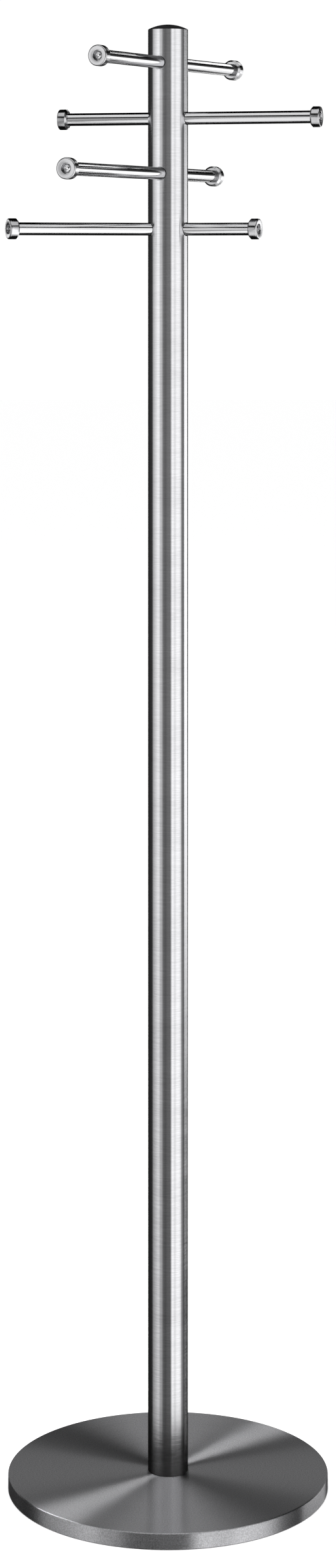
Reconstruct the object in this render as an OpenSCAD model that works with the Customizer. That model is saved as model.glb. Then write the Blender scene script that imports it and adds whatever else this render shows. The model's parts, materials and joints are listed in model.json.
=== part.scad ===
// Standing coat rack: a round weighted base, one round post with a domed cap, and eight arms
// that end in disc knobs. The origin is on the floor, at the middle of the base.
// Lengths are in millimetres and angles in degrees, counted from +X towards +Y.

/* [Base] */
// Diameter of the base
base_d = 400; // [250:1:500]
// Height of the base above the floor
base_h = 20; // [16:0.5:40]
// Thickness of the sheet of the base cover
cover_t = 1.2; // [0.8:0.1:1.6]
// Outer radius of the cover's top edge
cover_edge_r = 1.7; // [1.7:0.1:6]
// Gap between the floor and the cover's lower edge
cover_lift = 0.5; // [0.2:0.1:1]
// Gap all round between the cover's skirt and the ballast
ballast_gap = 1; // [0.5:0.1:3]
// Thickness of the floor pad
pad_t = 2; // [1.2:0.1:2.5]
// How far the floor pad stays inside the edge of the ballast
pad_inset = 4; // [2:0.5:20]

/* [Post] */
// Diameter of the post
post_d = 50; // [40:0.5:70]
// Wall of the post
post_wall = 1.5; // [1:0.1:3]
// Length of the post
post_len = 1806; // [1000:1:2000]
// Chamfer at both ends of the post
post_chamfer = 0.6; // [0.2:0.1:0.9]
// Length of the foot plug inside the post
foot_plug_len = 40; // [35:1:80]

/* [Cap] */
// Height of the cap's dome
cap_dome_h = 6.2; // [3:0.1:15]
// Length of the cap's plug inside the post
cap_plug_len = 22; // [15:1:30]
// Wall of the cap's plug
cap_plug_wall = 2.4; // [1.5:0.1:4]
// Gap all round between the cap's plug and the post
cap_plug_gap = 0.8; // [0.4:0.1:1.2]
// Number of gripping ribs round the cap's plug
cap_ribs = 3; // [1:1:4]
// Height of one gripping rib
cap_rib_h = 1.6; // [1:0.1:2.5]

/* [Arms] */
// Diameter of an arm
rod_d = 16; // [12:0.5:20]
// Distance from the post's rim down to the first pair of arms
first_level = 42.3; // [35:0.1:120]
// Distance from one pair of arms down to the next
level_pitch = 69.4; // [40:0.1:150]
// Reach of the left arms, from the post's axis to the knob's face, top level first
left_reach = [182, 142, 284, 211]; // [60:1:400]
// Reach of the right arms, top level first
right_reach = [180, 197, 145, 123]; // [60:1:400]
// Direction of the left arms, top level first
left_turn = [242, 165, 245, 201]; // [125:1:250]
// Direction of the right arms, top level first
right_turn = [61, 344, 65, 337]; // [0:1:360]
// Gap all round an arm where it goes through the post and into its hub
rod_gap = 0.1; // [0.05:0.05:0.3]
// Chamfer at both ends of an arm
rod_chamfer = 0.5; // [0.2:0.1:1]

/* [Hubs] */
// Height of a hub
hub_h = 30; // [24:1:38]
// Gap all round between a hub and the post
hub_gap = 0.15; // [0.05:0.05:0.5]
// How deep an arm sits in its hub
seat_depth = 8; // [4:0.5:9]
// Radius of the solid middle of a hub, which no thread enters
hub_core_r = 5; // [4.5:0.5:6]
// Diameter of the thread that holds an arm
stud_d = 8; // [6:1:8]
// Length of that thread inside the arm
stud_in_rod = 12; // [8:1:20]
// Room past the end of a stud or screw in its threaded hole
thread_room = 1; // [0.5:0.1:2]

/* [Knobs] */
// Diameter of a knob
knob_d = 26; // [21:0.5:40]
// Length of a knob
knob_len = 12; // [10:0.5:25]
// How far the knob's back edge is cut in towards the arm
knob_back_in = 2.4; // [0.5:0.1:2.4]
// Length of that cut
knob_back_len = 2.2; // [0.5:0.1:4]
// Radius of the knob's front edge
knob_front_r = 1.8; // [0.5:0.1:2]
// Depth of the dish in the knob's face
knob_dish = 0.6; // [0:0.1:1]
// Depth of the recess in the knob's back that takes the arm's end
knob_recess = 2.5; // [1:0.1:3]
// Depth of the counterbore for the screw's head
knob_sink = 4.4; // [3.6:0.1:5]
// Gap all round the screw's head in its counterbore
knob_head_gap = 1; // [0.3:0.1:1.5]

/* [Knob screws] */
// Thread diameter of a knob screw
screw_d = 6; // [5:0.5:6]
// Length of a knob screw under its head
screw_len = 16; // [12:1:25]
// Diameter of the screw's head
screw_head_d = 11; // [10:0.1:12]
// Height of the screw's head
screw_head_h = 3.3; // [2.5:0.1:3.5]
// Height of the straight edge of the screw's head
screw_rim_h = 0.4; // [0.2:0.1:0.8]
// Width across the flats of the screw's socket
screw_socket = 4; // [3:0.5:5]
// Depth of the screw's socket
screw_socket_depth = 2; // [1:0.1:2.2]
// Gap all round the screw in the knob's hole
screw_gap = 0.3; // [0.1:0.05:0.5]

/* [Base bolt] */
// Thread diameter of the base bolt
bolt_d = 10; // [8:1:12]
// Length of the base bolt under its head
bolt_len = 35; // [25:1:40]
// Width across the flats of the bolt's head
bolt_flats = 16; // [13:1:19]
// Height of the bolt's head
bolt_head_h = 6.4; // [5:0.1:7]
// Gap all round the bolt in the plates it passes
bolt_gap = 0.5; // [0.2:0.1:1]
// Diameter of the flat washer
washer_d = 30; // [24:1:40]
// Thickness of the flat washer
washer_t = 2.5; // [1.5:0.1:3]
// Diameter of the spring washer
spring_washer_d = 18; // [14:0.5:22]
// Thickness of the spring washer
spring_washer_t = 2.2; // [1.5:0.1:2.5]
// Width of the split in the spring washer
spring_split = 1.5; // [1:0.1:3]
// Room round the flat washer in the ballast, and under the bolt's head
bolt_room = 0.5; // [0.2:0.1:2]

/* [Hidden] */
$fn = 96;
SIDES = ["left", "right"];
LEVELS = [1 : len(left_reach)];

cut = 0.01; // how far a cutting shape runs past the face that it opens
base_r = base_d / 2;
cover_under = base_h - cover_t;
ballast_r = base_r - cover_t - ballast_gap;
ballast_edge = cover_edge_r - cover_t + ballast_gap;
bolt_seat = pad_t + bolt_room + bolt_head_h + spring_washer_t + washer_t;

post_r = post_d / 2;
bore_r = post_r - post_wall;
post_top = base_h + post_len;

rod_r = rod_d / 2;
rod_hole_r = rod_r + rod_gap;
hub_r = bore_r - hub_gap;
seat_r = hub_r - seat_depth;
stud_start = hub_core_r + thread_room;

knob_r = knob_d / 2;
screw_head_r = screw_head_d / 2;
sink_r = screw_head_r + knob_head_gap;
screw_seat = knob_len - knob_sink;
screw_tap_depth = screw_len - (screw_seat - knob_recess) + thread_room;

steel = "silver";
bright_steel = "gainsboro";
plain_steel = "slategray";
alloy = "lightsteelblue";
iron = "dimgray";
black = "black";

function level_z(level) = post_top - first_level - (level - 1) * level_pitch;
function reach(level, side) = side == "left" ? left_reach[level - 1] : right_reach[level - 1];
function turn(level, side) = side == "left" ? left_turn[level - 1] : right_turn[level - 1];
function knob_back(level, side) = reach(level, side) - knob_len;

// Turns +Z into the direction of one arm, with z = 0 on the post's axis.
module along_arm(level, side) {
    translate([0, 0, level_z(level)])
        rotate([0, 90, turn(level, side)])
            children();
}

// A rod along +Z from z0 to z1.
module bar(r, z0, z1) {
    translate([0, 0, z0])
        cylinder(r = r, h = z1 - z0);
}

// A rod along +Z from z0 to z1 with both its ends chamfered.
module chamfered_bar(r, z0, z1, chamfer) {
    rotate_extrude()
        polygon([
            [0, z0], [r - chamfer, z0], [r, z0 + chamfer],
            [r, z1 - chamfer], [r - chamfer, z1], [0, z1]
        ]);
}

// Half the section of a disc whose top edge is rounded, standing on z = 0.
module rounded_section(r, h, edge) {
    square([r, h - edge]);
    square([r - edge, h]);
    translate([r - edge, h - edge])
        circle(edge);
}

// A dome: the part of a sphere above z = 0, height h over a circle of radius r.
module dome(r, h) {
    ball_r = (r * r + h * h) / (2 * h);
    intersection() {
        translate([0, 0, h - ball_r])
            sphere(ball_r, $fn = 192);
        cylinder(r = r, h = h);
    }
}

// The soft disc under the base, which also hides the base bolt.
module floor_pad() {
    color(black)
        cylinder(r = ballast_r - pad_inset, h = pad_t);
}

// The cast weight, counterbored from below for the bolt and its washers.
module ballast_plate() {
    color(iron)
        difference() {
            translate([0, 0, pad_t])
                rotate_extrude()
                    rounded_section(ballast_r, cover_under - pad_t, ballast_edge);
            bar(bolt_d / 2 + bolt_gap, pad_t - cut, cover_under + cut);
            bar(washer_d / 2 + bolt_room, pad_t - cut, bolt_seat);
        }
}

// The spun steel shell over the weight.
module base_cover() {
    color(steel)
        difference() {
            translate([0, 0, cover_lift])
                rotate_extrude()
                    rounded_section(base_r, base_h - cover_lift, cover_edge_r);
            translate([0, 0, cover_lift - cut])
                rotate_extrude()
                    rounded_section(
                        base_r - cover_t, cover_under - cover_lift + cut, cover_edge_r - cover_t
                    );
            bar(bolt_d / 2 + bolt_gap, cover_under - cut, base_h + cut);
        }
}

// The hexagon bolt that pulls the post down on the base.
module base_bolt() {
    head_top = bolt_seat - washer_t - spring_washer_t;
    color(plain_steel)
        union() {
            bar(bolt_d / 2, head_top, head_top + bolt_len);
            translate([0, 0, head_top - bolt_head_h])
                cylinder(d = bolt_flats / cos(30), h = bolt_head_h, $fn = 6);
        }
}

module spring_washer() {
    z0 = bolt_seat - washer_t - spring_washer_t;
    color(plain_steel)
        difference() {
            bar(spring_washer_d / 2, z0, z0 + spring_washer_t);
            bar(bolt_d / 2 + bolt_gap, z0 - cut, z0 + spring_washer_t + cut);
            translate([0, -spring_split / 2, z0 - cut])
                cube([spring_washer_d, spring_split, spring_washer_t + 2 * cut]);
        }
}

module flat_washer() {
    color(plain_steel)
        difference() {
            bar(washer_d / 2, bolt_seat - washer_t, bolt_seat);
            bar(bolt_d / 2 + bolt_gap, bolt_seat - washer_t - cut, bolt_seat + cut);
        }
}

// The turned plug pressed and welded into the post's foot, threaded for the base bolt.
module foot_plug() {
    bolt_end = bolt_seat - washer_t - spring_washer_t + bolt_len;
    color(plain_steel)
        difference() {
            bar(bore_r, base_h, base_h + foot_plug_len);
            bar(bolt_d / 2, base_h - cut, bolt_end + thread_room);
        }
}

// The post: one tube with a hole for each arm.
module post_tube() {
    color(steel)
        difference() {
            chamfered_bar(post_r, base_h, post_top, post_chamfer);
            bar(bore_r, base_h - cut, post_top + cut);
            for (level = LEVELS)
                for (side = SIDES)
                    along_arm(level, side)
                        bar(rod_hole_r, 0, post_d);
        }
}

// The moulded cap: a dome as wide as the post on a hollow plug with gripping ribs.
module top_cap() {
    plug_r = bore_r - cap_plug_gap;
    plug_end = post_top - cap_plug_len;
    rib_pitch = cap_plug_len / (cap_ribs + 1);
    color(black)
        difference() {
            union() {
                translate([0, 0, post_top])
                    dome(post_r, cap_dome_h);
                bar(plug_r, plug_end, post_top + cut);
                for (rib = [1 : cap_ribs])
                    bar(
                        bore_r,
                        plug_end + rib * rib_pitch - cap_rib_h / 2,
                        plug_end + rib * rib_pitch + cap_rib_h / 2
                    );
            }
            bar(plug_r - cap_plug_wall, plug_end - cut, post_top - cap_plug_wall);
        }
}

// The solid hub inside the post that the two arms of one level screw into.
module arm_hub(level) {
    color(alloy)
        difference() {
            bar(hub_r, level_z(level) - hub_h / 2, level_z(level) + hub_h / 2);
            for (side = SIDES)
                along_arm(level, side) {
                    bar(rod_hole_r, seat_r, post_r);
                    bar(stud_d / 2, hub_core_r, seat_r + cut);
                }
        }
}

// An arm: a round bar, threaded inside at both ends.
module arm_rod(level, side) {
    rod_end = knob_back(level, side) + knob_recess;
    color(bright_steel)
        along_arm(level, side)
            difference() {
                chamfered_bar(rod_r, seat_r, rod_end, rod_chamfer);
                bar(stud_d / 2, seat_r - cut, seat_r + stud_in_rod + thread_room);
                bar(screw_d / 2, rod_end - screw_tap_depth, rod_end + cut);
            }
}

// The headless threaded stud between a hub and an arm.
module arm_stud(level, side) {
    color(plain_steel)
        along_arm(level, side)
            bar(stud_d / 2, stud_start, seat_r + stud_in_rod);
}

// A disc knob: cut in at its back, rounded at its front, with a dished and counterbored face.
module arm_knob(level, side) {
    face_r = knob_r - knob_front_r;
    color(steel)
        along_arm(level, side)
            translate([0, 0, knob_back(level, side)])
                difference() {
                    rotate_extrude() {
                        polygon([
                            [0, 0], [knob_r - knob_back_in, 0], [knob_r, knob_back_len],
                            [knob_r, knob_len - knob_front_r], [face_r, knob_len - knob_front_r],
                            [face_r, knob_len], [0, knob_len]
                        ]);
                        translate([face_r, knob_len - knob_front_r])
                            circle(knob_front_r);
                    }
                    rotate_extrude()
                        polygon([
                            [0, knob_len - knob_dish], [sink_r, knob_len - knob_dish],
                            [face_r, knob_len], [face_r, knob_len + cut], [0, knob_len + cut]
                        ]);
                    bar(sink_r, screw_seat, knob_len);
                    bar(screw_d / 2 + screw_gap, 0, knob_len);
                    bar(rod_hole_r, -cut, knob_recess);
                }
}

// The domed socket screw that holds a knob on its arm.
module arm_screw(level, side) {
    color(bright_steel)
        along_arm(level, side)
            translate([0, 0, knob_back(level, side) + screw_seat])
                difference() {
                    union() {
                        bar(screw_d / 2, -screw_len, cut);
                        bar(screw_head_r, 0, screw_rim_h);
                        translate([0, 0, screw_rim_h])
                            dome(screw_head_r, screw_head_h - screw_rim_h);
                    }
                    translate([0, 0, screw_head_h - screw_socket_depth])
                        cylinder(d = screw_socket / cos(30), h = screw_head_h, $fn = 6);
                }
}

floor_pad();
ballast_plate();
base_cover();
base_bolt();
spring_washer();
flat_washer();
foot_plug();
post_tube();
top_cap();
for (level = LEVELS) {
    arm_hub(level);
    for (side = SIDES) {
        arm = str("arm_", level, "_", side);
        arm_rod(level, side);
        arm_stud(level, side);
        arm_knob(level, side);
        arm_screw(level, side);
    }
}
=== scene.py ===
import json
import math

import bmesh
import bpy
from mathutils import Matrix, Vector

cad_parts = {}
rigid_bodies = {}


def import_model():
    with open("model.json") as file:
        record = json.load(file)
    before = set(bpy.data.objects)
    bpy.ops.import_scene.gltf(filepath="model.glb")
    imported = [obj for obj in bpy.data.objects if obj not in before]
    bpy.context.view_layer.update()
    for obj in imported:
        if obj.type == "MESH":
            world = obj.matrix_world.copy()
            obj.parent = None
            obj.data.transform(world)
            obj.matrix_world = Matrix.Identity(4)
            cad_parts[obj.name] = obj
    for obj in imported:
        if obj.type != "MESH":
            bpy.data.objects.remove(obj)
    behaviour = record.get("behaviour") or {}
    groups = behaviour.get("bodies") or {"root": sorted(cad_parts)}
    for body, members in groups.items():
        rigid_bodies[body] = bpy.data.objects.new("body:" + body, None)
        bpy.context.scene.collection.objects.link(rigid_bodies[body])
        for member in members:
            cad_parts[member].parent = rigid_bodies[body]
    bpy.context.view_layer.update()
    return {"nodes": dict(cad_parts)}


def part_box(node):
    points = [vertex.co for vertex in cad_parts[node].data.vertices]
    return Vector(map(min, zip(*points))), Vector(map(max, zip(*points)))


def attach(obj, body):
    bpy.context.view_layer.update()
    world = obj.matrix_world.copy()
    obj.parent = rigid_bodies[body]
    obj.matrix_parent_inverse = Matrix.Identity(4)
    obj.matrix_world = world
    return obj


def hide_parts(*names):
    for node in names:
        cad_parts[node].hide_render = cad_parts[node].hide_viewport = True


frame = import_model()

BODY = "root"
LEVELS = (1, 2, 3, 4)
SIDES = ("left", "right")
MM = 0.001

scene = bpy.context.scene


# ------------------------------------------------------------ sizes, taken from the frame

def lowest(node):
    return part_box(node)[0]


def highest(node):
    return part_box(node)[1]


def half_height(node):
    """The radius of a piece that lies along a level arm."""
    return (highest(node).z - lowest(node).z) / 2


def span(node, direction):
    """The nearest and farthest place of a node along a direction, in metres from the origin."""
    places = [direction.dot(v.co) for v in frame["nodes"][node].data.vertices]
    return min(places), max(places)


def arm_facts(level, side):
    """One arm's name, height, turn about the post, and where its pieces start and end."""
    name = f"arm_{level}_{side}"
    stud = name + "_stud"
    middle = (lowest(stud) + highest(stud)) / 2
    turn = math.atan2(middle.y, middle.x)
    direction = Vector((math.cos(turn), math.sin(turn), 0))
    facts = {"name": name, "height": middle.z, "turn": turn}
    for piece in ("rod", "knob", "screw"):
        facts[piece] = span(f"{name}_{piece}", direction)
    return facts


ARMS = [arm_facts(level, side) for level in LEVELS for side in SIDES]

BASE_R = highest("base_cover").x
BASE_LIFT = lowest("base_cover").z
BASE_TOP = highest("base_cover").z
POST_R = highest("post_tube").x
POST_TOP = highest("post_tube").z
CAP_TOP = highest("top_cap").z
CAP_FOOT = lowest("top_cap").z
ROD_R = half_height("arm_1_left_rod")
KNOB_R = half_height("arm_1_left_knob")
SCREW_HEAD_R = half_height("arm_1_left_screw")

COVER_SHEET = 1.2 * MM   # sheet of the base cover
POST_WALL = 1.5 * MM
HOLE_GAP = 0.1 * MM      # room round an arm in a knob
DRILL_GAP = 0.7 * MM     # room round an arm in the post
SCREW_LEN = 16 * MM      # from its foot to the seat of its head
SCREW_R = 3 * MM
SHARP_BEND = math.radians(35)   # an edge that bends more than this stays sharp


# ------------------------------------------------------------ node helpers

def add(tree, kind, **settings):
    """A new node in a tree, with the given settings."""
    node = tree.nodes.new(kind)
    for key, value in settings.items():
        setattr(node, key, value)
    return node


def feed(tree, target, source):
    """Links a socket to an input, or sets the input to a plain value."""
    if isinstance(source, bpy.types.NodeSocket):
        tree.links.new(source, target)
    else:
        target.default_value = source


def maths(tree, operation, *values):
    node = add(tree, "ShaderNodeMath", operation=operation)
    for socket, value in zip(node.inputs, values):
        feed(tree, socket, value)
    return node.outputs[0]


def vector_maths(tree, operation, *values):
    node = add(tree, "ShaderNodeVectorMath", operation=operation)
    for socket, value in zip(node.inputs, values):
        feed(tree, socket, value)
    return node.outputs["Value" if operation in ("DOT_PRODUCT", "LENGTH") else "Vector"]


def joined_xyz(tree, x, y, z):
    node = add(tree, "ShaderNodeCombineXYZ")
    for socket, value in zip(node.inputs, (x, y, z)):
        feed(tree, socket, value)
    return node.outputs[0]


def split_xyz(tree, vector):
    node = add(tree, "ShaderNodeSeparateXYZ")
    feed(tree, node.inputs[0], vector)
    return node.outputs


# ------------------------------------------------------------ the lathe

def lathe_tree():
    """Turns a profile, drawn as a chain of points with x out from the axis and z along it, into
    a solid of revolution, and carries it out along an arm. A point with its flats mark set
    follows a hexagon instead of a circle. The turned piece keeps where each point lay on the
    lathe (place) and which way the tool ran past it (around)."""
    tree = bpy.data.node_groups.new("turn on lathe", "GeometryNodeTree")
    face = tree.interface
    face.new_socket("Profile", in_out="INPUT", socket_type="NodeSocketGeometry")
    for name, kind, value in (
        ("Steps Around", "NodeSocketInt", 96),
        ("Height", "NodeSocketFloat", 0.0),
        ("Turn", "NodeSocketFloat", 0.0),
        ("Tip", "NodeSocketFloat", 0.0),
    ):
        face.new_socket(name, in_out="INPUT", socket_type=kind).default_value = value
    face.new_socket("Finish", in_out="INPUT", socket_type="NodeSocketMaterial")
    face.new_socket("Piece", in_out="OUTPUT", socket_type="NodeSocketGeometry")
    given = add(tree, "NodeGroupInput").outputs

    size = add(tree, "GeometryNodeAttributeDomainSize")
    feed(tree, size.inputs[0], given["Profile"])
    points = size.outputs["Point Count"]

    grid = add(tree, "GeometryNodeMeshGrid")
    feed(tree, grid.inputs["Size X"], 1.0)
    feed(tree, grid.inputs["Size Y"], 1.0)
    feed(tree, grid.inputs["Vertices X"], maths(tree, "ADD", given["Steps Around"], 1.0))
    feed(tree, grid.inputs["Vertices Y"], points)

    on_grid = split_xyz(tree, add(tree, "GeometryNodeInputPosition").outputs[0])
    angle = maths(tree, "MULTIPLY", maths(tree, "ADD", on_grid["X"], 0.5), math.tau)
    last = maths(tree, "SUBTRACT", points, 1.0)
    row = maths(tree, "ROUND", maths(tree, "MULTIPLY", maths(tree, "ADD", on_grid["Y"], 0.5), last))

    def sampled(kind, value):
        node = add(tree, "GeometryNodeSampleIndex", data_type=kind)
        feed(tree, node.inputs["Geometry"], given["Profile"])
        feed(tree, node.inputs["Value"], value)
        feed(tree, node.inputs["Index"], row)
        return node.outputs[0]

    profile = split_xyz(tree, sampled("FLOAT_VECTOR", add(tree, "GeometryNodeInputPosition").outputs[0]))
    mark = add(tree, "GeometryNodeInputNamedAttribute", data_type="FLOAT")
    mark.inputs["Name"].default_value = "flats"
    flats = sampled("FLOAT", mark.outputs["Attribute"])

    sixth = math.tau / 6
    past_corner = maths(tree, "MODULO", maths(tree, "ADD", angle, sixth / 2), sixth)
    in_sixth = maths(tree, "SUBTRACT", past_corner, sixth / 2)
    swell = maths(tree, "SUBTRACT", maths(tree, "DIVIDE", 1.0, maths(tree, "COSINE", in_sixth)), 1.0)
    radius = maths(tree, "MULTIPLY", profile["X"], maths(tree, "MULTIPLY_ADD", flats, swell, 1.0))
    cosine = maths(tree, "COSINE", angle)
    sine = maths(tree, "SINE", angle)
    place = joined_xyz(
        tree, maths(tree, "MULTIPLY", radius, cosine), maths(tree, "MULTIPLY", radius, sine), profile["Z"]
    )
    around = joined_xyz(tree, maths(tree, "MULTIPLY", sine, -1.0), cosine, 0.0)

    turned = add(tree, "GeometryNodeSetPosition")
    feed(tree, turned.inputs["Geometry"], grid.outputs["Mesh"])
    feed(tree, turned.inputs["Position"], place)

    angles = joined_xyz(tree, 0.0, given["Tip"], given["Turn"])
    carried_round = add(tree, "ShaderNodeVectorRotate", rotation_type="EULER_XYZ")
    feed(tree, carried_round.inputs["Vector"], around)
    feed(tree, carried_round.inputs["Rotation"], angles)

    shape = turned.outputs[0]
    for name, value in (("place", place), ("around", carried_round.outputs[0])):
        store = add(tree, "GeometryNodeStoreNamedAttribute", data_type="FLOAT_VECTOR", domain="POINT")
        feed(tree, store.inputs["Geometry"], shape)
        store.inputs["Name"].default_value = name
        feed(tree, store.inputs["Value"], value)
        shape = store.outputs[0]
    closed = add(tree, "GeometryNodeMergeByDistance")
    feed(tree, closed.inputs["Geometry"], shape)
    closed.inputs["Distance"].default_value = 0.001 * MM

    carry = add(tree, "GeometryNodeTransform")
    feed(tree, carry.inputs["Geometry"], closed.outputs[0])
    feed(tree, carry.inputs["Translation"], joined_xyz(tree, 0.0, 0.0, given["Height"]))
    feed(tree, carry.inputs["Rotation"], angles)

    finish = add(tree, "GeometryNodeSetMaterial")
    feed(tree, finish.inputs["Geometry"], carry.outputs[0])
    feed(tree, finish.inputs["Material"], given["Finish"])
    feed(tree, add(tree, "NodeGroupOutput").inputs[0], finish.outputs[0])
    return tree


def set_inputs(modifier, **values):
    """Sets a tree's named inputs by their identifiers; a low line stands for a space."""
    wanted = {name.replace("_", " ").lower(): value for name, value in values.items()}
    for item in modifier.node_group.interface.items_tree:
        if item.item_type == "SOCKET" and item.in_out == "INPUT" and item.name.lower() in wanted:
            modifier[item.identifier] = wanted[item.name.lower()]


def arc(x, z, r, start, end, steps=6):
    """Points of an arc round (x, z), from one angle to another, in degrees from +x towards +z."""
    turns = [math.radians(start + (end - start) * i / steps) for i in range(steps + 1)]
    return [(x + r * math.cos(t), z + r * math.sin(t)) for t in turns]


def turned_piece(name, node, profile, finish, slot, height=0.0, turn=0.0, tip=0.0, steps=96):
    """Turns a profile on the lathe and puts the piece in its CAD node's place."""
    chain = bpy.data.meshes.new(name + "_profile")
    chain.from_pydata(
        [(point[0], 0, point[1]) for point in profile],
        [(i, i + 1) for i in range(len(profile) - 1)],
        [],
    )
    flats = chain.attributes.new("flats", "FLOAT", "POINT")
    for i, point in enumerate(profile):
        flats.data[i].value = point[2] if len(point) > 2 else 0.0
    blank = bpy.data.objects.new(name, chain)
    scene.collection.objects.link(blank)
    lathe = blank.modifiers.new("lathe", "NODES")
    lathe.node_group = LATHE
    set_inputs(lathe, steps_around=steps, height=height, turn=turn, tip=tip, finish=finish)
    mesh = bpy.data.meshes.new_from_object(
        blank.evaluated_get(bpy.context.evaluated_depsgraph_get())
    )
    blank.modifiers.remove(lathe)
    blank.data = mesh
    bpy.data.meshes.remove(chain)
    mesh.name = name
    for polygon in mesh.polygons:
        polygon.use_smooth = True
    mesh.set_sharp_from_angle(angle=SHARP_BEND)
    place(blank, node, slot)
    return blank


def place(piece, node, slot):
    """Puts a piece on the stand in the place of its CAD node."""
    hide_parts(node)
    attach(piece, BODY)


# ------------------------------------------------------------ finishes

def new_finish(name, color, roughness, metallic=1.0):
    """A new material, with its tree and its shader."""
    material = bpy.data.materials.new(name)
    material.use_nodes = True
    tree = material.node_tree
    shader = tree.nodes["Principled BSDF"]
    shader.inputs["Base Color"].default_value = (*color, 1)
    shader.inputs["Roughness"].default_value = roughness
    shader.inputs["Metallic"].default_value = metallic
    return material, tree, shader


def noise(tree, vector, stretch, detail=3.0, roughness=0.55):
    """Noise between 0 and 1, with this many waves to the metre along x, y and z."""
    mapping = add(tree, "ShaderNodeMapping")
    feed(tree, mapping.inputs["Vector"], vector)
    mapping.inputs["Scale"].default_value = stretch
    cloud = add(tree, "ShaderNodeTexNoise")
    feed(tree, cloud.inputs["Vector"], mapping.outputs[0])
    cloud.inputs["Scale"].default_value = 1.0
    cloud.inputs["Detail"].default_value = detail
    cloud.inputs["Roughness"].default_value = roughness
    return cloud.outputs["Fac"]


def mapped(tree, value, low, high, new_low, new_high):
    node = add(tree, "ShaderNodeMapRange")
    for socket, given in zip(node.inputs, (value, low, high, new_low, new_high)):
        feed(tree, socket, given)
    return node.outputs[0]


def swung(tree, cloud, low, high):
    """A value that swings from low to high with a noise, nearly all of which is 0.3 to 0.7."""
    return mapped(tree, cloud, 0.3, 0.7, low, high)


def shaded(tree, color, amount):
    """A colour made lighter or darker by an amount near 1."""
    node = add(tree, "ShaderNodeVectorMath", operation="SCALE")
    node.inputs[0].default_value = color
    feed(tree, node.inputs["Scale"], amount)
    return node.outputs[0]


def bumped(tree, shader, height, distance, strength):
    """Feeds a height to the shader's normal, and returns the bump node."""
    bump = add(tree, "ShaderNodeBump")
    bump.inputs["Strength"].default_value = strength
    bump.inputs["Distance"].default_value = distance
    feed(tree, bump.inputs["Height"], height)
    tree.links.new(bump.outputs[0], shader.inputs["Normal"])
    return bump


def object_place(tree):
    return add(tree, "ShaderNodeTexCoord").outputs["Object"]


def kept(tree, name):
    """A vector that a turned piece keeps for each of its points."""
    return add(tree, "ShaderNodeAttribute", attribute_name=name).outputs["Vector"]


def across_grain(tree, along):
    """The direction on the surface square to the grain, in which brushed steel blurs."""
    normal = add(tree, "ShaderNodeNewGeometry").outputs["Normal"]
    return vector_maths(tree, "CROSS_PRODUCT", normal, along)


def leaned(tree, normal, lean):
    """A normal that leans towards the stand's axis, as the tool left the grooves."""
    to_axis = vector_maths(tree, "MULTIPLY", object_place(tree), (-1.0, -1.0, 0.0))
    inward = vector_maths(tree, "NORMALIZE", to_axis)
    tilted = vector_maths(tree, "MULTIPLY_ADD", inward, (lean, lean, 0.0), normal)
    return vector_maths(tree, "NORMALIZE", tilted)


def brushed_steel(name, color, rough, lined, clouded, blur, along, streaks, patches, line_depth, lean=0.0):
    """Steel with fine parallel grain. rough is the smoothest and the roughest it gets. lined and
    clouded are how far a grain line and a patch may lighten or darken it, and streaks and patches
    put the noise for them in the tree. along gives the grain's direction, and blur is how much
    more the steel blurs across it. lean is how far the grooves lean towards the stand's axis."""
    material, tree, shader = new_finish(name, color, rough[0])
    grain = streaks(tree)
    cloud = patches(tree)
    line_tone = swung(tree, grain, 1 - lined, 1 + lined)
    patch_tone = swung(tree, cloud, 1 - clouded, 1 + clouded)
    tone = maths(tree, "MULTIPLY", line_tone, patch_tone)
    tree.links.new(shaded(tree, color, tone), shader.inputs["Base Color"])
    patch_share = 0.4        # how much of the roughness the patches set; the lines set the rest
    from_lines = maths(tree, "MULTIPLY", grain, 1 - patch_share)
    mixed = maths(tree, "MULTIPLY_ADD", cloud, patch_share, from_lines)
    tree.links.new(swung(tree, mixed, *rough), shader.inputs["Roughness"])
    shader.inputs["Anisotropic"].default_value = blur
    tree.links.new(across_grain(tree, along(tree)), shader.inputs["Tangent"])
    bump = bumped(tree, shader, grain, distance=line_depth, strength=0.5)
    if lean:
        tree.links.new(leaned(tree, bump.outputs[0], lean), shader.inputs["Normal"])
    return material


def round_the_axis(tree):
    """The direction round the stand's own axis, for grain that runs round the post and base."""
    return vector_maths(tree, "CROSS_PRODUCT", (0.0, 0.0, 1.0), object_place(tree))


def round_the_arm(tree):
    """The direction round an arm, for pieces that were turned and carried out along it."""
    return kept(tree, "around")


def post_steel():
    return brushed_steel(
        "post steel, brushed round", color=(0.62, 0.62, 0.635), rough=(0.14, 0.22),
        lined=0.10, clouded=0.06, blur=0.85, line_depth=0.02 * MM, along=round_the_axis,
        streaks=lambda tree: noise(tree, object_place(tree), (70, 70, 1100), detail=4.0),
        patches=lambda tree: noise(tree, object_place(tree), (9, 9, 30), detail=2.0),
    )


def ring_place(tree):
    """Coordinates that change slowly round the stand's axis and fast outwards and upwards."""
    slow = 0.01
    x, y, z = split_xyz(tree, object_place(tree))
    flat = joined_xyz(tree, x, y, 0.0)
    out = maths(tree, "SUBTRACT", vector_maths(tree, "LENGTH", flat), z)
    turned = vector_maths(tree, "NORMALIZE", flat)
    return vector_maths(tree, "MULTIPLY_ADD", turned, (slow, slow, 0.0), joined_xyz(tree, 0.0, 0.0, out))


def base_steel():
    return brushed_steel(
        "base steel, brushed in rings", color=(0.50, 0.50, 0.515), rough=(0.30, 0.38),
        lined=0.06, clouded=0.26, blur=1.0, line_depth=0.01 * MM, lean=0.16, along=round_the_axis,
        streaks=lambda tree: noise(tree, ring_place(tree), (400, 400, 900), detail=4.0),
        patches=lambda tree: noise(tree, object_place(tree), (650, 650, 650), detail=2.0),
    )


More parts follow.
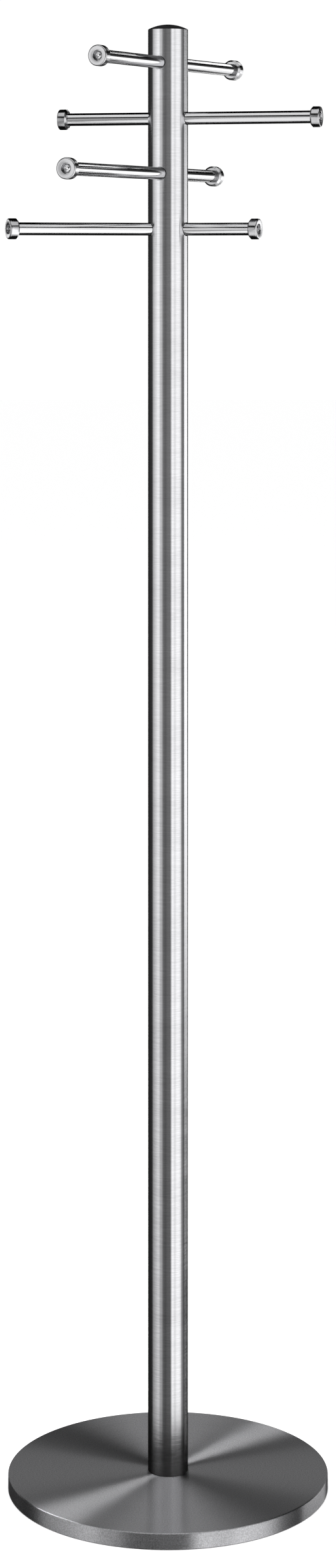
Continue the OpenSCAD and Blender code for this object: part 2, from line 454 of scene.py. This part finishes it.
def rod_steel():
    return brushed_steel(
        "rod steel, satin", color=(0.66, 0.66, 0.67), rough=(0.09, 0.18),
        lined=0.08, clouded=0.06, blur=0.3, line_depth=0.01 * MM, along=round_the_arm,
        streaks=lambda tree: noise(tree, kept(tree, "place"), (500, 500, 25), detail=3.0),
        patches=lambda tree: noise(tree, kept(tree, "place"), (60, 60, 30), detail=2.0),
    )


def knob_steel():
    return brushed_steel(
        "knob steel, turned", color=(0.50, 0.50, 0.51), rough=(0.14, 0.26),
        lined=0.14, clouded=0.10, blur=0.7, line_depth=0.015 * MM, along=round_the_arm,
        streaks=lambda tree: noise(tree, kept(tree, "place"), (220, 220, 900), detail=3.0),
        patches=lambda tree: noise(tree, kept(tree, "place"), (90, 90, 90), detail=2.0),
    )


def screw_steel():
    return brushed_steel(
        "screw steel, bright", color=(0.68, 0.68, 0.69), rough=(0.10, 0.20),
        lined=0.05, clouded=0.05, blur=0.2, line_depth=0.01 * MM, along=round_the_arm,
        streaks=lambda tree: noise(tree, kept(tree, "place"), (400, 400, 400), detail=2.0),
        patches=lambda tree: noise(tree, kept(tree, "place"), (150, 150, 150), detail=2.0),
    )


def cap_plastic():
    """Black moulded plastic: fine spark-eroded texture with a soft sheen."""
    black = (0.006, 0.006, 0.0065)
    material, tree, shader = new_finish("cap plastic, black", black, 0.45, metallic=0.0)
    shader.inputs["Specular IOR Level"].default_value = 0.25
    fine = noise(tree, object_place(tree), (1800, 1800, 1800), 2.0)
    cloud = noise(tree, object_place(tree), (40, 40, 40), 3.0)
    tree.links.new(swung(tree, cloud, 0.40, 0.52), shader.inputs["Roughness"])
    tree.links.new(shaded(tree, black, swung(tree, cloud, 0.8, 1.25)), shader.inputs["Base Color"])
    bumped(tree, shader, fine, distance=0.02 * MM, strength=0.4)
    return material


def cast_iron():
    """Rough black-primed casting, sandy, cloudy and a little brown."""
    material, tree, shader = new_finish("cast iron, primed", (0.06, 0.06, 0.062), 0.65, metallic=0.2)
    sand = noise(tree, object_place(tree), (700, 700, 700), 5.0, 0.65)
    cloud = noise(tree, object_place(tree), (25, 25, 25), 4.0)
    tree.links.new(shaded(tree, (0.06, 0.057, 0.055), swung(tree, cloud, 0.6, 1.5)),
                   shader.inputs["Base Color"])
    tree.links.new(swung(tree, sand, 0.5, 0.8), shader.inputs["Roughness"])
    bumped(tree, shader, sand, distance=0.3 * MM, strength=0.7)
    return material


def pad_rubber():
    """Matt black foam rubber with closed cells."""
    material, tree, shader = new_finish("pad rubber, black", (0.02, 0.02, 0.021), 0.8, metallic=0.0)
    cells = add(tree, "ShaderNodeTexVoronoi")
    feed(tree, cells.inputs["Vector"], object_place(tree))
    cells.inputs["Scale"].default_value = 900
    cloud = noise(tree, object_place(tree), (30, 30, 30), 3.0)
    tree.links.new(shaded(tree, (0.022, 0.022, 0.023), swung(tree, cloud, 0.75, 1.3)),
                   shader.inputs["Base Color"])
    tree.links.new(swung(tree, cloud, 0.72, 0.9), shader.inputs["Roughness"])
    bumped(tree, shader, cells.outputs["Distance"], distance=0.1 * MM, strength=0.6)
    return material


def plain_metal(name, color, rough, ring):
    """Zinc plate or turned alloy on the pieces inside: cloudy, with faint tool rings. ring is how
    far they lighten and darken it."""
    material, tree, shader = new_finish(name, color, rough[0])
    cloud = noise(tree, object_place(tree), (160, 160, 160), 4.0)
    lines = noise(tree, object_place(tree), (120, 120, 1500), 2.0)
    cloud_tone = swung(tree, cloud, 0.88 - ring / 2, 1.08 - ring / 2)
    tone = maths(tree, "MULTIPLY_ADD", lines, ring, cloud_tone)
    tree.links.new(shaded(tree, color, tone), shader.inputs["Base Color"])
    tree.links.new(swung(tree, cloud, *rough), shader.inputs["Roughness"])
    bumped(tree, shader, lines, distance=0.02 * MM, strength=0.4)
    return material


# ------------------------------------------------------------ pieces

def base_cover(finish):
    """The spun shell: a flat top, a small radius and a skirt, open underneath."""
    edge = 1.7 * MM          # outer radius of the bend
    inner = edge - COVER_SHEET
    lip_edge = 0.3 * MM
    hole = 5.5 * MM          # for the bolt
    top, under, lip = BASE_TOP, BASE_TOP - COVER_SHEET, BASE_LIFT
    profile = [
        (hole, under), (BASE_R - edge, under), *arc(BASE_R - edge, top - edge, inner, 90, 0, 3),
        (BASE_R - COVER_SHEET, lip), (BASE_R - lip_edge, lip), (BASE_R, lip + lip_edge),
        *arc(BASE_R - edge, top - edge, edge, 0, 90, 8), (hole, top), (hole, under),
    ]
    shell = turned_piece("base_cover_shell", "base_cover", profile, finish, "base_steel", steps=256)
    shell.visible_glossy = False   # the post and arms don't mirror it


def post_tube(finish):
    """The post: a tube with a small chamfer at both ends, drilled for the arms."""
    chamfer = 0.6 * MM
    bore = POST_R - POST_WALL
    profile = [
        (bore, BASE_TOP), (POST_R - chamfer, BASE_TOP), (POST_R, BASE_TOP + chamfer),
        (POST_R, POST_TOP - chamfer), (POST_R - chamfer, POST_TOP), (bore, POST_TOP), (bore, BASE_TOP),
    ]
    tube = turned_piece("post_tube_drilled", "post_tube", profile, finish, "post_steel", steps=192)
    drill(tube, finish)


def drill(tube, finish):
    """Drills the tube's wall for each arm."""
    wide = ROD_R + DRILL_GAP
    deep = 16 * MM           # half of it lies outside the tube
    drills = bmesh.new()
    for arm in ARMS:
        lift = Matrix.Translation((0, 0, arm["height"]))
        along = Matrix.Rotation(arm["turn"], 4, "Z") @ Matrix.Rotation(math.pi / 2, 4, "Y")
        reach = Matrix.Translation((0, 0, POST_R))
        bmesh.ops.create_cone(
            drills, cap_ends=True, segments=64, radius1=wide, radius2=wide, depth=deep,
            matrix=lift @ along @ reach,
        )
    mesh = bpy.data.meshes.new("drills")
    drills.to_mesh(mesh)
    drills.free()
    cutter = bpy.data.objects.new("drills", mesh)
    scene.collection.objects.link(cutter)
    cut = tube.modifiers.new("drill", "BOOLEAN")
    cut.object = cutter
    cut.operation = "DIFFERENCE"
    cut.solver = "EXACT"
    drilled = bpy.data.meshes.new_from_object(
        tube.evaluated_get(bpy.context.evaluated_depsgraph_get())
    )
    tube.modifiers.remove(cut)
    bpy.data.objects.remove(cutter)
    bpy.data.meshes.remove(mesh)
    tube.data = drilled
    drilled.name = tube.name
    drilled.materials.clear()
    drilled.materials.append(finish)
    for polygon in drilled.polygons:
        polygon.material_index = 0
    keep_round(drilled)


def keep_round(mesh):
    """Gives the round faces of an upright tube the normals of a true cylinder, and the rest flat ones."""
    nearly_one = 1 - 1e-3
    normals = []
    for polygon in mesh.polygons:
        out = Vector((polygon.center.x, polygon.center.y, 0))
        facing = out.normalized().dot(polygon.normal)
        side = 1 if facing > 0 else -1
        for corner in polygon.vertices:
            at = mesh.vertices[corner].co
            radial = (side * Vector((at.x, at.y, 0))).normalized()
            normals.append(radial if abs(facing) > nearly_one else polygon.normal.copy())
    mesh.normals_split_custom_set(normals)


def top_cap(finish):
    """The moulded cap: a shallow dome on a hollow plug."""
    rise = CAP_TOP - POST_TOP
    ball = (POST_R ** 2 + rise ** 2) / (2 * rise)
    half = math.degrees(math.asin(POST_R / ball))
    plug_gap = 0.8 * MM
    plug = POST_R - POST_WALL - plug_gap
    wall = 2.4 * MM
    profile = [
        (0, POST_TOP - wall), (plug - wall, POST_TOP - wall), (plug - wall, CAP_FOOT), (plug, CAP_FOOT),
        (plug, POST_TOP), *arc(0, CAP_TOP - ball, ball, 90 - half, 90, 24),
    ]
    turned_piece("top_cap_moulding", "top_cap", profile, finish, "cap_plastic", steps=128)


def on_arm(arm):
    """Where the lathe carries a piece of an arm: up, round, and tipped level."""
    return {"height": arm["height"], "turn": arm["turn"], "tip": math.pi / 2}


def arm_rod(arm, finish):
    """A plain bar with a small chamfer at each end."""
    start, end = arm["rod"]
    chamfer = 0.5 * MM
    profile = [
        (0, start), (ROD_R - chamfer, start), (ROD_R, start + chamfer),
        (ROD_R, end - chamfer), (ROD_R - chamfer, end), (0, end),
    ]
    name = arm["name"]
    turned_piece(name + "_bar", name + "_rod", profile, finish, "rod_steel", **on_arm(arm), steps=64)


def arm_knob(arm, finish):
    """A disc knob: a chamfered back, a rounded front and a dished, counterbored face."""
    back, front = arm["knob"]
    back_in, back_len = 2.4 * MM, 2.2 * MM
    nose = 1.8 * MM
    dish = 0.6 * MM
    lip = 0.2 * MM
    sink_r = SCREW_HEAD_R + 1 * MM
    seat = front - 4.4 * MM      # where the screw's head sits
    recess = back + 2.5 * MM     # how far the arm goes in
    hole = SCREW_R + 0.3 * MM
    rod_hole = ROD_R + HOLE_GAP
    face_r = KNOB_R - nose
    profile = [
        (hole, recess), (rod_hole, recess), (rod_hole, back), (KNOB_R - back_in, back),
        (KNOB_R, back + back_len), *arc(face_r, front - nose, nose, 0, 90, 6),
        (sink_r + lip, front - dish), (sink_r, front - dish - lip), (sink_r, seat), (hole, seat),
        (hole, recess),
    ]
    name = arm["name"]
    turned_piece(name + "_knob_disc", name + "_knob", profile, finish, "knob_steel", **on_arm(arm))


def arm_screw(arm, finish):
    """The domed socket screw in a knob's counterbore."""
    foot = arm["screw"][0]
    point = 0.4 * MM
    seat = foot + SCREW_LEN
    bevel = 0.1 * MM
    rim = seat + 0.4 * MM
    rise = 2.9 * MM
    ball = (SCREW_HEAD_R ** 2 + rise ** 2) / (2 * rise)
    half = math.degrees(math.asin(SCREW_HEAD_R / ball))
    socket = 2 * MM          # from its axis to its flats
    mouth_r = socket + 0.2 * MM
    mouth_turn = math.degrees(math.asin(mouth_r / ball))
    dome = arc(0, rim + rise - ball, ball, 90 - half, 90 - mouth_turn, 12)
    mouth = dome[-1][1]
    edge, wall_foot, middle = mouth - 0.15 * MM, mouth - 1.9 * MM, mouth - 2.4 * MM
    profile = [
        (0, foot), (SCREW_R - point, foot), (SCREW_R, foot + point), (SCREW_R, seat),
        (SCREW_HEAD_R - bevel, seat), (SCREW_HEAD_R, seat + bevel), *dome,
        (socket, edge, 1), (socket, wall_foot, 1), (0, middle, 1),
    ]
    name = arm["name"]
    turned_piece(name + "_screw_head", name + "_screw", profile, finish, "screw_steel", **on_arm(arm))


LATHE = lathe_tree()

base_cover(base_steel())
post_tube(post_steel())
top_cap(cap_plastic())
ROD_FINISH = rod_steel()
KNOB_FINISH = knob_steel()
SCREW_FINISH = screw_steel()
for arm in ARMS:
    arm_rod(arm, ROD_FINISH)
    arm_knob(arm, KNOB_FINISH)
    arm_screw(arm, SCREW_FINISH)


# ------------------------------------------------------------ pieces that stay as the frame has them

def refinish(node, finish):
    """Gives a CAD piece that is shown as it is a finish of its own."""
    mesh = frame["nodes"][node].data
    mesh.materials.clear()
    mesh.materials.append(finish)


ZINC = plain_metal("zinc plate", (0.56, 0.57, 0.54), rough=(0.28, 0.45), ring=0.05)
ALLOY = plain_metal("turned alloy", (0.60, 0.61, 0.63), rough=(0.26, 0.40), ring=0.12)
refinish("floor_pad", pad_rubber())
refinish("ballast_plate", cast_iron())
for node in ("base_bolt", "spring_washer", "flat_washer", "foot_plug"):
    refinish(node, ZINC)
for arm in ARMS:
    refinish(arm["name"] + "_stud", ZINC)
for level in LEVELS:
    refinish(f"arm_hub_{level}", ALLOY)


# ------------------------------------------------------------ floor, light and camera

def pale_floor():
    """A plain pale floor under the stand."""
    half = 30.0
    corners = [(-half, -half, 0), (half, -half, 0), (half, half, 0), (-half, half, 0)]
    mesh = bpy.data.meshes.new("floor")
    mesh.from_pydata(corners, [], [(0, 1, 2, 3)])
    floor = bpy.data.objects.new("floor", mesh)
    scene.collection.objects.link(floor)
    material, _, shader = new_finish("floor, pale", (0.96, 0.96, 0.96), 1.0, metallic=0.0)
    shader.inputs["Specular IOR Level"].default_value = 0.0
    mesh.materials.append(material)
    floor.visible_glossy = False


# What steel mirrors round the stand: degrees to the right of the camera's side, and strength.
LIGHT_ROUND = (
    (-180, 0.04), (-150, 0.02), (-128, 0.05), (-103, 0.07), (-98, 0.60), (-86, 1.10), (-72, 1.50),
    (-62, 1.85), (-52, 1.85), (-48, 1.20), (-34, 0.95), (-30, 0.35), (-16, 0.22), (0, 0.34), (14, 0.32),
    (18, 0.90), (22, 1.85), (31, 1.85), (40, 1.40), (52, 1.90), (70, 1.85), (80, 1.20), (86, 0.45),
    (104, 0.12), (150, 0.02), (180, 0.04),
)

# Boxes of light in the sky: degrees across, degrees up, strength, and how soft the edges are.
SKY_BOXES = (
    ((107, 145), (-13, 2), 2.2, 2),    # a low one on the right, a little behind
    ((-88, 88), (36, 96), 1.3, 3),     # a ceiling over the camera's side
)


def ramp(tree, value, low, high, stops):
    """A strength that runs straight from stop to stop, each a place between low and high."""
    node = add(tree, "ShaderNodeFloatCurve")
    feed(tree, node.inputs["Value"], mapped(tree, value, low, high, 0.0, 1.0))
    curve = node.mapping.curves[0]
    peak = max(strength for spot, strength in stops)
    while len(curve.points) < len(stops):
        curve.points.new(0.5, 0.5)    # moved to its stop below
    for point, (spot, strength) in zip(curve.points, stops):
        point.location = ((spot - low) / (high - low), strength / peak)
        point.handle_type = "VECTOR"
    node.mapping.update()
    return maths(tree, "MULTIPLY", node.outputs[0], peak)


def between(tree, value, start, end, soft):
    """One from start to end and nothing past them, with soft edges."""
    rise = mapped(tree, value, start - soft, start + soft, 0.0, 1.0)
    fall = mapped(tree, value, end - soft, end + soft, 1.0, 0.0)
    return maths(tree, "MULTIPLY", rise, fall)


def soft_box(tree, side, rise, across, up, strength, soft):
    """A box of light in the sky: its span across and its span upwards, in degrees."""
    area = maths(tree, "MULTIPLY", between(tree, side, *across, soft), between(tree, rise, *up, soft))
    return maths(tree, "MULTIPLY", area, strength)


def studio_world():
    """The sky that steel mirrors. The camera and matt surfaces meet plain white in its place."""
    world = bpy.data.worlds.new("studio")
    scene.world = world
    world.use_nodes = True
    tree = world.node_tree
    tree.nodes.clear()
    x, y, z = split_xyz(tree, add(tree, "ShaderNodeTexCoord").outputs["Generated"])
    side = maths(tree, "DEGREES", maths(tree, "ARCTAN2", x, maths(tree, "MULTIPLY", y, -1.0)))
    rise = maths(tree, "DEGREES", maths(tree, "ARCSINE", z))

    band = between(tree, rise, start=-60, end=15, soft=3)
    level = maths(tree, "MULTIPLY", ramp(tree, side, -180, 180, LIGHT_ROUND), band)
    # On the left the light fades downwards, so that the post darkens towards its foot.
    loss = 0.62
    fade = mapped(tree, rise, -24, -6, loss, 0.0)
    on_left = mapped(tree, side, 14, 20, 1.0, 0.0)
    sunk = maths(tree, "MULTIPLY", fade, on_left)
    total = maths(tree, "MULTIPLY", level, maths(tree, "SUBTRACT", 1.0, sunk))
    for across, up, strength, soft in SKY_BOXES:
        total = maths(tree, "ADD", total, soft_box(tree, side, rise, across, up, strength, soft))

    mirrored = add(tree, "ShaderNodeBackground")
    feed(tree, mirrored.inputs["Strength"], total)
    full_white = 1.04        # a little over 1, so that it shows as white everywhere
    plain = add(tree, "ShaderNodeBackground")
    plain.inputs["Color"].default_value = (1, 1, 1, 1)
    plain.inputs["Strength"].default_value = full_white
    path = add(tree, "ShaderNodeLightPath").outputs
    choice = add(tree, "ShaderNodeMixShader")
    feed(tree, choice.inputs[0], maths(tree, "MAXIMUM", path["Is Camera Ray"], path["Is Diffuse Ray"]))
    tree.links.new(mirrored.outputs[0], choice.inputs[1])
    tree.links.new(plain.outputs[0], choice.inputs[2])
    tree.links.new(choice.outputs[0], add(tree, "ShaderNodeOutputWorld").inputs[0])


def soft_light(name, at, aim, size, radiance, lit=None):
    """A rectangular light that the camera doesn't see. lit holds the only pieces that it lights."""
    data = bpy.data.lights.new(name, "AREA")
    data.shape = "RECTANGLE"
    data.size, data.size_y = size
    data.energy = radiance * size[0] * size[1] * math.pi
    lamp = bpy.data.objects.new(name, data)
    scene.collection.objects.link(lamp)
    lamp.location = at
    lamp.rotation_euler = (Vector(aim) - Vector(at)).to_track_quat("-Z", "Y").to_euler()
    lamp.visible_camera = False
    if lit:
        lamp.light_linking.receiver_collection = lit
    return lamp


def lit_group(name, *words):
    """A collection of the shown pieces whose names hold any of the words."""
    group = bpy.data.collections.new(name)
    for piece in scene.objects:
        if piece.type == "MESH" and any(word in piece.name for word in words):
            group.objects.link(piece)
    return group


def studio_camera():
    """A level camera in front of the stand, with its lens shifted down to take in the base."""
    data = bpy.data.cameras.new("camera")
    data.sensor_width = 36.0
    data.lens = 73.0
    data.shift_y = -0.337
    data.clip_end = 200
    distance, height = 3.988, 1.5425
    camera = bpy.data.objects.new("camera", data)
    scene.collection.objects.link(camera)
    camera.location = (0, -distance, height)
    camera.rotation_euler = (math.pi / 2, 0, 0)
    scene.camera = camera


# Lamps that light only some pieces: name, place, aim, size and radiance.
ARM_LAMPS = (
    ("arms from below in front", (0, -0.75, 0.95), (0, 0, 1.75), (1.4, 1.7), 0.95),
    ("arms from below behind", (1.3, 1.5, 1.15), (0, 0, 1.7), (2.6, 0.6), 1.2),
    ("arms from high behind", (1.389, 2.311, 3.065), (0, 0, 1.75), (1.15, 0.35), 1.8),
    ("arms from the left behind", (-2.0, 2.2, 1.7), (0, 0, 1.72), (0.6, 0.35), 1.6),
)
BASE_LAMPS = (
    ("base from the left", (-1.004, 0.534, 1.263), (0, 0, 0), (0.26, 0.6), 14),
    ("base from low behind", (0, 2.4, 0.9), (0, 0, 0.9), (8, 1.4), 0.22),
    ("base from high behind", (0, 1.1, 2.2), (0, 0, 0), (1.0, 1.2), 0.7),
)

pale_floor()
studio_world()
overhead = soft_light("overhead", (0, -0.6, 4.2), (0, 0, 0.9), (2.2, 2.2), 8.5)
overhead.visible_glossy = False
for lit, lamps in (
    (lit_group("arms", "_bar", "_knob_disc", "_screw_head"), ARM_LAMPS),
    (lit_group("base", "base_cover_shell"), BASE_LAMPS),
):
    for name, at, aim, size, radiance in lamps:
        soft_light(name, at, aim, size, radiance, lit)
studio_camera()
scene.view_settings.view_transform = "Standard"
